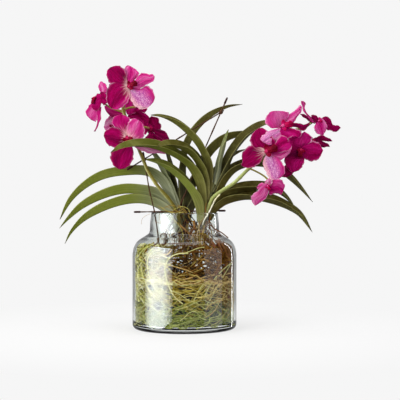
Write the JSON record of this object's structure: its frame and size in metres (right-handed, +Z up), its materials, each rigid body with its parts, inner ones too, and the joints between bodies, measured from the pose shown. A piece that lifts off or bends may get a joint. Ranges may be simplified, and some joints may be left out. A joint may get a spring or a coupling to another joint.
{
  "type": "vanda orchid in glass vase",
  "caption": "Vanda orchid with two fans of strap leaves and two sprays of magenta blooms, standing in a clear bottle-shaped glass vase filled with moss and roots.",
  "frame": {"origin": "centre of the vase's foot, on the surface that the vase stands on", "axes": "+Z up along the vase's axis; +X to the right along the spread of the two leaf fans; -Y towards the viewer, the side that the blooms face"},
  "size_m": [0.5053, 0.1868, 0.4687],
  "materials": {
    "clear_glass": "clear, polished",
    "moss": "matte fibres",
    "brown_root": "matte fibres",
    "pale_root": "satin root skin",
    "stem": "dry sheaths",
    "leaf": "satin, leathery",
    "flower_stalk": "satin",
    "petal": "soft, slightly velvety",
    "lip": "satin",
    "stick": "dull brown",
    "tie": "dull"
  },
  "bodies": {
    "root": {"vase": "clear_glass", "moss_fill": "moss", "root_tangle": "brown_root", "long_root_middle": "pale_root", "long_root_left": "pale_root", "long_root_far_left": "pale_root", "aerial_root": "pale_root", "stem_left": "stem", "stem_right": "stem", "leaf_left_1": "leaf", "leaf_left_2": "leaf", "leaf_left_3": "leaf", "leaf_left_4": "leaf", "leaf_left_5": "leaf", "leaf_left_6": "leaf", "leaf_left_7": "leaf", "leaf_left_8": "leaf", "leaf_right_1": "leaf", "leaf_right_2": "leaf", "leaf_right_3": "leaf", "leaf_right_4": "leaf", "leaf_right_5": "leaf", "leaf_right_6": "leaf", "leaf_right_7": "leaf", "leaf_right_8": "leaf", "leaf_right_9": "leaf", "stalk_left": "flower_stalk", "bloom_left_1": "petal", "lip_left_1": "lip", "bloom_left_2": "petal", "lip_left_2": "lip", "bloom_left_3": "petal", "lip_left_3": "lip", "bloom_left_4": "petal", "lip_left_4": "lip", "bloom_left_5": "petal", "lip_left_5": "lip", "bloom_left_6": "petal", "lip_left_6": "lip", "stalk_right": "flower_stalk", "bloom_right_1": "petal", "lip_right_1": "lip", "bloom_right_2": "petal", "lip_right_2": "lip", "bloom_right_3": "petal", "lip_right_3": "lip", "bloom_right_4": "petal", "lip_right_4": "lip", "bloom_right_5": "petal", "lip_right_5": "lip", "bloom_right_6": "petal", "stick_across_rim": "stick", "stick_left": "stick", "stick_right": "stick", "stick_leaning": "stick", "tie_left": "tie", "tie_right": "tie"}
  },
  "joints": []
}
